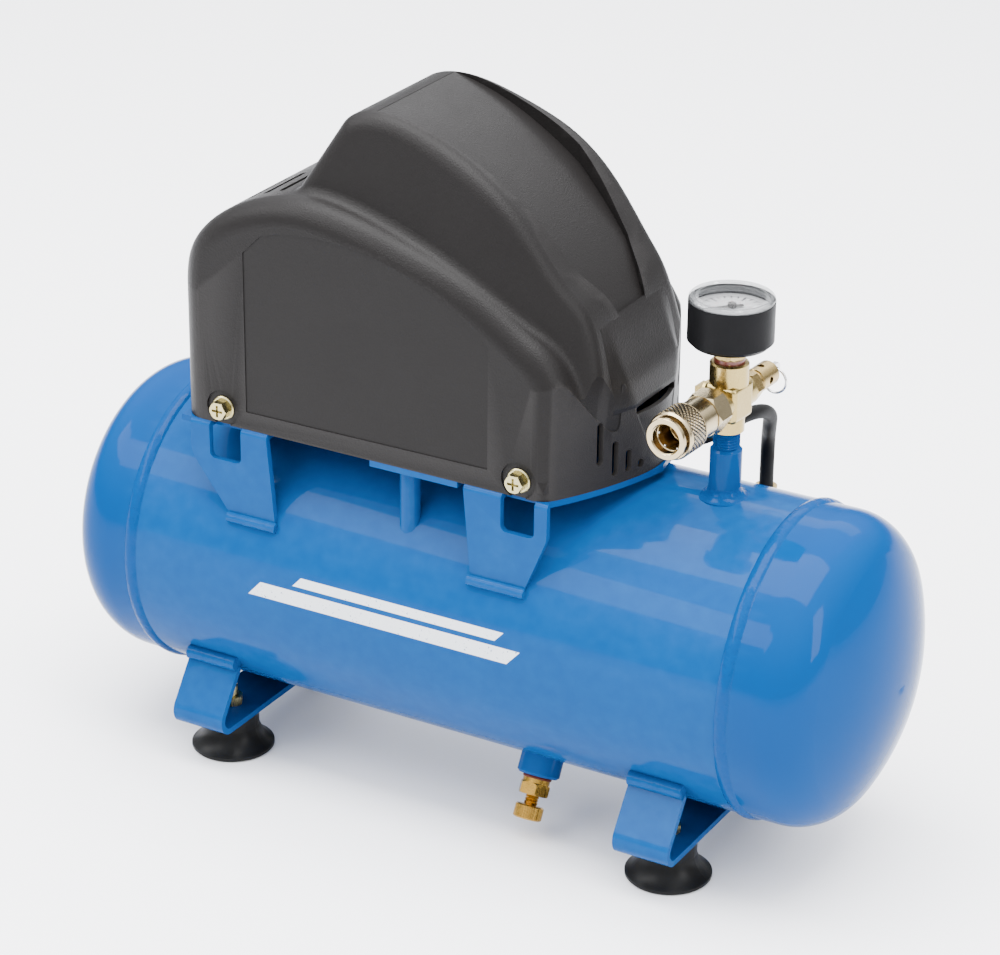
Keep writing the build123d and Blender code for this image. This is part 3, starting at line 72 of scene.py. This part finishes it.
# Gauge: limits of radius on the dial and the lens
DIAL_SWEEP = (135, 136)  # degrees to each side of +Y where the scale ends and has faded out
DIAL_EDGE = 0.0001
TICKS = (0.0122, 0.0146)
MAJOR_TICKS = (0.0100, 0.0146)
SCALE_LINE = (0.0143, 0.0148)
RED_TICKS = (0.0078, 0.0090)
LENS_RIM = (0.0152, 0.0160)
LENS_RINGS = 5200.0  # radians of the rings' wave for each metre of radius

# Nose of the shroud in millimetres: height, reach of the nose and reach of the solid behind it
NOSE_ROWS = (
    (264, 72.2, 72.2), (262, 73.4, 73.3), (256, 76.2, 75.3), (250, 78.6, 77.0),
    (244, 80.9, 78.5), (240, 82.5, 79.4), (236, 84.3, 80.4), (232, 85.3, 81.3),
    (228, 85.9, 82.2), (225, 86.4, 82.3), (222.4, 86.7, 82.3),
)
# Reach of the shroud's round right end at distances from the middle plane, in millimetres
NOSE_WALL = ((0, 89.4), (10, 88.5), (16, 87.2), (20, 86.3), (25, 84.7), (30, 82.5), (35, 80.2))
NOSE_PROUD = 0.12  # the nose stands out this far from the round end
NOSE_HALF = 34.0
NOSE_STEPS = 34
NOSE_FADE_START = 24.0
NOSE_FADE = 9.0
NOSE_SUNK = 0.5  # the sides of the nose end this far inside the solid
NOSE_HEM = 2.6  # the lower edge turns in by this much

# Camera
LENS_LENGTH = 122.94
CAMERA_AZIMUTH = math.radians(29.718)
CAMERA_HEIGHT = math.radians(24.558)
CAMERA_ROLL = math.radians(0.544)
CAMERA_DISTANCE = 1.64574
CAMERA_TARGET = Vector((0.0037, AXIS_Y, 0.16002))


class Look:
    """One procedural material, built node by node."""

    def __init__(self, name):
        self.mat = bpy.data.materials.new(name)
        self.mat.use_nodes = True
        self.tree = self.mat.node_tree
        self.bsdf = self.tree.nodes["Principled BSDF"]
        self.place = self.new("ShaderNodeTexCoord").outputs["Object"]

    def new(self, kind, **settings):
        node = self.tree.nodes.new(kind)
        for key, value in settings.items():
            setattr(node, key, value)
        return node

    def link(self, source, target):
        """Link a socket, or write a constant onto the target socket."""
        if hasattr(source, "links"):
            self.tree.links.new(source, target)
        else:
            target.default_value = source

    def set(self, **values):
        for key, value in values.items():
            self.link(value, self.bsdf.inputs[key.replace("_", " ")])
        return self

    def colour(self):
        """What the base colour is linked to now."""
        return self.bsdf.inputs["Base Color"].links[0].from_socket

    def math(self, kind, a, b=0.0):
        node = self.new("ShaderNodeMath", operation=kind)
        for socket, value in zip(node.inputs, (a, b)):
            self.link(value, socket)
        return node.outputs[0]

    def times(self, first, *others):
        for other in others:
            first = self.math("MULTIPLY", first, other)
        return first

    def length(self, a, b):
        return self.math("SQRT", self.math("ADD", self.times(a, a), self.times(b, b)))

    def noise(self, scale, detail=3.0, rough=0.5, where=None):
        node = self.new("ShaderNodeTexNoise")
        self.link(where or self.place, node.inputs["Vector"])
        node.inputs["Scale"].default_value = scale
        node.inputs["Detail"].default_value = detail
        node.inputs["Roughness"].default_value = rough
        return node.outputs["Fac"]

    def cells(self, scale):
        node = self.new("ShaderNodeTexVoronoi", feature="F1")
        self.link(self.place, node.inputs["Vector"])
        node.inputs["Scale"].default_value = scale
        return node.outputs["Distance"]

    def span(self, value, low, high, out_low=0.0, out_high=1.0):
        node = self.new("ShaderNodeMapRange")
        self.link(value, node.inputs["Value"])
        for key, number in zip(("From Min", "From Max", "To Min", "To Max"), (low, high, out_low, out_high)):
            node.inputs[key].default_value = number
        return node.outputs["Result"]

    def between(self, value, low, high, soft):
        """A mask that is 1 from low to high and fades out over soft, just inside both ends."""
        return self.times(self.span(value, low, low + soft), self.span(value, high, high - soft))

    def mix(self, factor, first, second):
        node = self.new("ShaderNodeMix", data_type="RGBA")
        self.link(factor, node.inputs[0])
        for value, socket in ((first, node.inputs[6]), (second, node.inputs[7])):
            self.link((*value, 1) if isinstance(value, tuple) else value, socket)
        return node.outputs[2]

    def bump(self, height, distance, strength=1.0, under=None):
        node = self.new("ShaderNodeBump")
        self.link(height, node.inputs["Height"])
        self.link(strength, node.inputs["Strength"])
        node.inputs["Distance"].default_value = distance
        if under is not None:
            self.link(under, node.inputs["Normal"])
        return node.outputs["Normal"]

    def edges(self, low=0.53, high=0.62):
        """A mask of the outer edges."""
        return self.span(self.new("ShaderNodeNewGeometry").outputs["Pointiness"], low, high)

    def axes(self, origin=(0, 0, 0), turn=0.0):
        """Coordinates about another origin, turned about z, split into x, y and z."""
        node = self.new("ShaderNodeMapping", vector_type="TEXTURE")
        self.link(self.place, node.inputs["Vector"])
        node.inputs["Location"].default_value = origin
        node.inputs["Rotation"].default_value = (0, 0, turn)
        split = self.new("ShaderNodeSeparateXYZ")
        self.link(node.outputs[0], split.inputs[0])
        return split.outputs

    def on(self, *names):
        for name in names:
            for held in NODES[name].material_slots:
                held.material = self.mat
        return self


# ---------------------------------------------------------------- paint

def enamel(name, mark=False):
    """Glossy blue enamel with a faint orange peel, a little worn at its edges."""
    look = Look(name)
    _, y, z = look.axes((0, AXIS_Y, TANK_AXIS_Z))
    off_apex = look.span(look.length(y, z), *APEX_CLEAR)
    worn = look.times(look.edges(0.56, 0.68), look.noise(160.0, 4.0), off_apex)
    colour = look.mix(look.noise(14.0, 2.0), PAINT, PAINT_LIGHT)
    colour = look.mix(look.times(worn, 0.35), colour, PAINT_WORN)
    rough = look.span(look.noise(60.0), 0.3, 0.7, 0.13, 0.2)
    peel = look.bump(look.noise(420.0, 2.0), 0.00006, 0.35)
    peel = look.bump(look.noise(38.0, 2.0), 0.0004, 0.12, peel)
    if mark:
        chips = look.span(look.noise(900.0), 0.28, 0.34)
        printed = look.times(mark_bars(look), chips)
        colour = look.mix(printed, colour, MARK_WHITE)
        rough = look.math("ADD", rough, look.times(printed, 0.12))
    look.set(Base_Color=colour, Roughness=rough, Normal=peel)
    return look.set(Coat_Weight=0.14, Coat_Roughness=0.04, Coat_IOR=1.38, Specular_IOR_Level=0.01)


def mark_bars(look):
    """A mask of the plain white mark on the tank's front: two long bars that end in a slant."""
    x, y, z = look.axes((0, AXIS_Y, TANK_AXIS_Z))
    height = look.times(look.math("ARCTAN2", z, look.times(y, -1.0)), TANK_R)
    slant = look.math("ADD", x, look.times(height, -MARK_SLANT))
    bars = [
        look.times(look.between(height, low, high, MARK_EDGE), look.between(slant, left, right, MARK_EDGE))
        for low, high, left, right in MARK_BARS]
    return look.times(look.math("MAXIMUM", *bars), look.span(y, 0.0, -0.001))


def weld_enamel():
    """The same enamel over the ripples of a weld."""
    look = enamel("blue enamel over weld")
    ripple = look.bump(look.noise(260.0, 3.0, 0.6), 0.0012, 0.8)
    return look.set(Normal=look.bump(look.noise(90.0, 2.0), 0.0022, 0.5, ripple))


enamel("blue enamel marked", mark=True).on("tank_shell")
enamel("blue enamel").on(
    "tank_head_left", "tank_head_right", "standpipe", "tank_bungs", "foot_strap_left", "foot_strap_right",
    "platform", "platform_posts")
weld_enamel().on("weld_beads")


# ---------------------------------------------------------------- shroud

def grained_plastic():
    """Black moulded plastic with a leather grain, smoother on the side panels."""
    look = Look("grained plastic")
    _, y, _ = look.axes((0, AXIS_Y, 0))
    panel = look.between(look.math("ABSOLUTE", y), *PANEL_FACE, PANEL_EDGE)
    grain = look.math("ADD", look.cells(1250.0), look.times(look.noise(2400.0, 2.0), 0.6))
    pebble = look.bump(grain, 0.0003, look.span(panel, 0.0, 1.0, 0.34, 0.07))
    wave = look.bump(look.noise(9.0, 1.0), 0.0012, 0.18, pebble)
    tint = look.mix(look.noise(7.0), (0.0075, 0.0068, 0.0066), (0.0100, 0.0091, 0.0089))
    tint = look.mix(look.times(look.edges(0.515, 0.56), 0.45), tint, (0.024, 0.0225, 0.022))
    matt = look.span(look.noise(30.0), 0.3, 0.7, 0.36, 0.43)
    matt = look.math("ADD", matt, look.times(panel, 0.06))
    return look.set(Base_Color=tint, Roughness=matt, Normal=wave, Specular_IOR_Level=0.09)


def along(table, value):
    """The second column of a table, read at a value of its first column."""
    for (a, low), (b, high) in zip(table, table[1:]):
        if value <= b:
            return low + (high - low) * (value - a) / (b - a)
    return table[-1][1]


def nose_reach(across, full, bare):
    """How far the nose reaches in +X, in millimetres, falling back into the solid at both sides."""
    share = min(1.0, max(0.0, (abs(across) - NOSE_FADE_START) / NOSE_FADE))
    fade = 1 - share * share * (3 - 2 * share)
    reach = bare + (full - bare) * fade
    reach = min(reach, along(NOSE_WALL, abs(across)) + NOSE_PROUD)
    return reach - (NOSE_SUNK if share >= 1.0 else 0.0)


def shroud_nose(look):
    """The nose of the shroud's ridge as an open sheet, smooth over the step that the solid has there."""
    columns = [NOSE_HALF * (2 * i / NOSE_STEPS - 1) for i in range(NOSE_STEPS + 1)]
    rows = [(*row, 0.0) for row in NOSE_ROWS]
    rows.append((*NOSE_ROWS[-1], NOSE_HEM))
    points = [
        ((nose_reach(across, full, bare) - hem) / 1000, AXIS_Y + across / 1000, height / 1000)
        for height, full, bare, hem in rows for across in columns]
    wide = len(columns)
    corners = [row * wide + i for row in range(len(rows) - 1) for i in range(wide - 1)]
    mesh = bpy.data.meshes.new("shroud_nose")
    mesh.from_pydata(points, [], [(a, a + wide, a + wide + 1, a + 1) for a in corners])
    mesh.materials.append(look.mat)
    for face in mesh.polygons:
        face.use_smooth = True
    piece = bpy.data.objects.new("shroud_nose", mesh)
    bpy.context.scene.collection.objects.link(piece)
    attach(piece, "base")


shroud_nose(grained_plastic().on("shroud"))


# ---------------------------------------------------------------- rubber, plastic and matt paint

def rubber(name, base, rough, dusty=0.5, shine=0.08):
    """A matt skin with an uneven tint and dust on its edges."""
    look = Look(name)
    colour = look.mix(look.noise(45.0, 4.0), base, tuple(1.6 * c + 0.001 for c in base))
    dust = look.times(look.edges(), look.noise(300.0), dusty)
    colour = look.mix(dust, colour, tuple(0.6 * c + 0.03 for c in base))
    look.set(Base_Color=colour, Roughness=look.span(look.noise(70.0), 0.3, 0.7, rough - 0.08, rough + 0.08))
    return look.set(Normal=look.bump(look.noise(900.0), 0.0002, 0.25), Specular_IOR_Level=shine)


rubber("foot rubber", (0.005, 0.005, 0.005), rough=0.36).on("rubber_feet")
rubber("hose rubber", (0.004, 0.004, 0.004), rough=0.56).on("discharge_hose")
rubber("gland rubber", (0.006, 0.006, 0.006), rough=0.55).on("cord_gland", "rubber_isolators")
rubber("black moulding", (0.008, 0.008, 0.008), rough=0.5).on("cooling_fan", "intake_filter")
rubber("red brown sealant", (0.055, 0.010, 0.006), rough=0.35).on("drain_seal", "drain_seat", "piston_cup")
rubber("white can", (0.45, 0.45, 0.43), rough=0.4).on("run_capacitor")
rubber("gauge enamel", (0.003, 0.003, 0.0034), rough=0.44, dusty=0.04, shine=0.06).on("gauge_case")
rubber("needle enamel", (0.03, 0.028, 0.027), rough=0.35).on("gauge_needle")


# ---------------------------------------------------------------- metal

def metal(name, base, second, rough, turned=None, cast=0.0):
    """Bare or plated metal: two drifting tints, fine scratches and brighter edges.

    turned is the pitch of turning rings square to the outlet's axis, and cast the strength of a cast skin.
    """
    look = Look(name)
    colour = look.mix(look.noise(80.0, 4.0), base, second)
    bright = tuple(min(1.0, 1.25 * c + 0.03) for c in base)
    colour = look.mix(look.times(look.edges(), 0.55), colour, bright)
    stretched = look.new("ShaderNodeMapping")
    look.link(look.place, stretched.inputs["Vector"])
    stretched.inputs["Scale"].default_value = (1.0, 14.0, 1.0)
    scratch = look.noise(380.0, 5.0, 0.7, stretched.outputs[0])
    relief = look.bump(look.noise(700.0), 0.00012, 0.16 + cast)
    if cast:
        relief = look.bump(look.cells(520.0), 0.0004, cast, relief)
    if turned:
        _, y, _ = look.axes(CROSS, PORT_TURN)
        relief = look.bump(look.math("SINE", look.times(y, 2 * math.pi / turned)), 0.00005, 0.25, relief)
    look.set(Base_Color=colour, Roughness=look.span(scratch, 0.3, 0.75, rough - 0.05, rough + 0.09))
    return look.set(Normal=relief, Metallic=1.0)


metal("yellow zinc", (0.34, 0.29, 0.13), (0.42, 0.38, 0.22), rough=0.27).on(
    "shroud_screws", "foot_screws", "hex_nuts", "motor_bolts", "head_bolts", "capacitor_clamp")
metal("forged brass", (0.31, 0.225, 0.075), (0.38, 0.29, 0.12), rough=0.26, cast=0.06).on(
    "manifold_cross", "port_plug")
metal("turned brass", (0.31, 0.215, 0.075), (0.38, 0.275, 0.115), rough=0.24, turned=0.0006).on(
    "safety_valve_body", "check_valve_body")
metal("drain brass", (0.36, 0.20, 0.030), (0.42, 0.25, 0.05), rough=0.24).on("drain_body", "drain_knob")
metal("plated coupler", (0.38, 0.30, 0.165), (0.45, 0.37, 0.225), rough=0.18, turned=0.0008).on(
    "coupler_body")
metal("spring steel", (0.60, 0.60, 0.60), (0.68, 0.67, 0.66), rough=0.2).on(
    "coupler_springs", "coupler_balls", "safety_valve_spring", "safety_pull_ring", "safety_valve_stem",
    "check_valve_ball", "motor_shaft", "shaft_bearings", "rod_bearing", "valve_plate")
metal("cast aluminium", (0.52, 0.52, 0.53), (0.60, 0.60, 0.61), rough=0.45, cast=0.3).on(
    "pump_housing", "fan_end_bell", "piston_rod", "pump_cylinder", "cylinder_head")
metal("grey iron", (0.16, 0.16, 0.17), (0.22, 0.22, 0.22), rough=0.55, cast=0.3).on("crank_disc")
metal("sheet steel", (0.34, 0.34, 0.36), (0.42, 0.42, 0.43), rough=0.4).on("stator_core", "rotor_core")
metal("winding copper", (0.50, 0.20, 0.07), (0.62, 0.28, 0.10), rough=0.3).on("stator_windings")
metal("poppet brass", (0.34, 0.20, 0.08), (0.46, 0.30, 0.12), rough=0.35).on("coupler_poppet")


def works_brass():
    """The gauge's brass works, with a band of red-brown sealant round the stem."""
    look = metal("works brass", (0.31, 0.22, 0.08), (0.38, 0.28, 0.12), rough=0.3)
    _, _, z = look.axes()
    patchy = look.span(look.noise(420.0, 2.0), 0.3, 0.36)
    band = look.times(look.span(z, *SEALANT_FOOT), look.span(z, *SEALANT_TOP), patchy)
    look.set(Base_Color=look.mix(band, look.colour(), (0.11, 0.016, 0.010)))
    return look.set(Metallic=look.math("SUBTRACT", 1.0, band))


def knurled_collar():
    """Plated collar with a diamond knurl: two sets of slanting ridges, with painted shade darkening the
    grooves.
    """
    look = metal("knurled collar", (0.37, 0.29, 0.165), (0.44, 0.36, 0.225), rough=0.22)
    x, y, z = look.axes(CROSS, PORT_TURN)
    turn = look.times(look.math("ARCTAN2", z, x), KNURL_RIDGES)
    run = look.times(y, KNURL_LEAN)
    ridges = [look.math("SINE", look.math(way, turn, run)) for way in ("ADD", "SUBTRACT")]
    diamonds = look.math("MINIMUM", *ridges)
    banded = look.between(look.times(y, -1.0), *KNURL, KNURL_EDGE)
    # painted shade: the grooves between the bumped ridges are darkened in the colour
    painted_groove_shade = look.times(look.span(diamonds, -0.1, -0.7), banded)
    look.set(Base_Color=look.mix(painted_groove_shade, look.colour(), (0.05, 0.04, 0.025)))
    return look.set(Normal=look.bump(look.times(diamonds, banded), 0.0012))


works_brass().on("gauge_movement")
knurled_collar().on("coupler_sleeve")


# ---------------------------------------------------------------- dial and lens

def dial_print():
    """A pale dial with a black scale, longer ticks every fifth step and short red ticks inside."""
    look = Look("dial print")
    x, y, _ = look.axes(CROSS)
    radius = look.length(x, y)
    around = look.math("ARCTAN2", x, y)
    end, out = (math.radians(degrees) for degrees in DIAL_SWEEP)
    sweep = look.span(look.math("ABSOLUTE", around), out, end)

    def ring(limits):
        return look.times(look.between(radius, *limits, DIAL_EDGE), sweep)

    def ticks(limits, step, width):
        """Ticks every step degrees, each reaching width of a step to both sides."""
        turns = look.math("DIVIDE", around, math.radians(step))
        away = look.math("ABSOLUTE", look.math("SUBTRACT", turns, look.math("ROUND", turns)))
        return look.times(ring(limits), look.span(away, width, width * 0.7))

    black = look.math("MAXIMUM", ticks(TICKS, 13.5, 0.13), ticks(MAJOR_TICKS, 67.5, 0.035))
    black = look.math("MAXIMUM", black, ring(SCALE_LINE))
    paper = look.mix(look.noise(200.0), (0.26, 0.26, 0.27), (0.30, 0.30, 0.30))
    inked = look.mix(ticks(RED_TICKS, 27.0, 0.06), paper, (0.20, 0.01, 0.01))
    inked = look.mix(black, inked, (0.01, 0.01, 0.012))
    return look.set(Base_Color=inked, Roughness=0.45, Normal=look.bump(look.noise(1200.0), 0.00005, 0.2))


def clear_lens():
    """Thin clear plastic with fine rings in its thicker rim."""
    look = Look("clear lens")
    x, y, _ = look.axes(CROSS)
    radius = look.length(x, y)
    rim = look.span(radius, *LENS_RIM)
    rings = look.times(look.math("ABSOLUTE", look.math("SINE", look.times(radius, LENS_RINGS))), rim)
    cover = look.math("ADD", 0.05, look.times(rim, 0.2))
    cover = look.math("ADD", cover, look.times(rings, 0.25))
    tinge = look.mix(look.noise(140.0), (0.10, 0.104, 0.108), (0.20, 0.205, 0.21))
    mottle = look.bump(look.noise(60.0, 2.0), 0.0003, 0.12)
    look.set(Base_Color=tinge, Roughness=0.04, IOR=1.49, Alpha=cover, Normal=mottle)
    return look.set(Coat_Weight=1.0, Coat_Roughness=0.03)


dial_print().on("gauge_dial")
clear_lens().on("gauge_lens")


# ---------------------------------------------------------------- floor, light and camera

def pale_floor():
    bpy.ops.mesh.primitive_plane_add(size=14.0, location=(0, 0, -0.0002))
    floor = bpy.context.object
    floor.name = "floor"
    look = Look("pale floor")
    shade = look.mix(look.noise(1.5, 2.0), (0.93, 0.925, 0.935), (0.97, 0.965, 0.975))
    look.set(Base_Color=shade, Roughness=0.55, Normal=look.bump(look.noise(900.0), 0.0001, 0.05))
    floor.data.materials.append(look.mat)


def sky():
    """White surroundings, dim at the horizon and bright overhead."""
    world = bpy.context.scene.world or bpy.data.worlds.new("world")
    bpy.context.scene.world = world
    world.use_nodes = True
    tree = world.node_tree
    heading = tree.nodes.new("ShaderNodeTexCoord")
    split = tree.nodes.new("ShaderNodeSeparateXYZ")
    tree.links.new(heading.outputs["Generated"], split.inputs[0])
    rise = tree.nodes.new("ShaderNodeMapRange")
    tree.links.new(split.outputs[2], rise.inputs["Value"])
    for key, number in zip(("From Min", "From Max", "To Min", "To Max"), (0.12, 0.85, 0.35, 4.2)):
        rise.inputs[key].default_value = number
    tree.nodes["Background"].inputs["Color"].default_value = (0.94, 0.96, 1.0, 1)
    tree.links.new(rise.outputs["Result"], tree.nodes["Background"].inputs["Strength"])


def softbox(name, where, at, size, power):
    data = bpy.data.lights.new(name, "AREA")
    data.shape = "RECTANGLE"
    data.size, data.size_y = size
    data.energy = power
    lamp = bpy.data.objects.new(name, data)
    bpy.context.scene.collection.objects.link(lamp)
    lamp.location = where
    lamp.rotation_mode = "QUATERNION"
    lamp.rotation_quaternion = (Vector(at) - Vector(where)).to_track_quat("-Z", "Y")


def place_camera():
    """Stand the camera round the target by its azimuth and height, with a slight roll."""
    data = bpy.data.cameras.new("camera")
    data.sensor_width = 36.0
    data.lens = LENS_LENGTH
    data.clip_start = 0.05
    data.clip_end = 40.0
    camera = bpy.data.objects.new("camera", data)
    bpy.context.scene.collection.objects.link(camera)
    bpy.context.scene.camera = camera
    sine, cosine = math.sin(CAMERA_AZIMUTH), math.cos(CAMERA_AZIMUTH)
    level = math.cos(CAMERA_HEIGHT)
    back = Vector((sine * level, -cosine * level, math.sin(CAMERA_HEIGHT)))
    right = Vector((cosine, sine, 0))
    rolled_right = right * math.cos(CAMERA_ROLL) + back.cross(right) * math.sin(CAMERA_ROLL)
    pose = Matrix((rolled_right, back.cross(rolled_right), back)).transposed().to_4x4()
    pose.translation = CAMERA_TARGET + back * CAMERA_DISTANCE
    camera.matrix_world = pose


pale_floor()
sky()
softbox("overhead", where=(0.0, -0.1, 1.9), at=(0, 0, 0.15), size=(2.2, 1.2), power=120)
softbox("front strip", where=(-1.2, -1.15, 1.5), at=(0.05, 0, 0.15), size=(2.4, 0.55), power=42)
softbox("right", where=(1.7, -0.35, 0.9), at=(0.1, 0, 0.15), size=(0.4, 1.0), power=18)
softbox("back", where=(-0.3, 1.8, 1.5), at=(0, 0, 0.2), size=(2.0, 0.5), power=14)
place_camera()
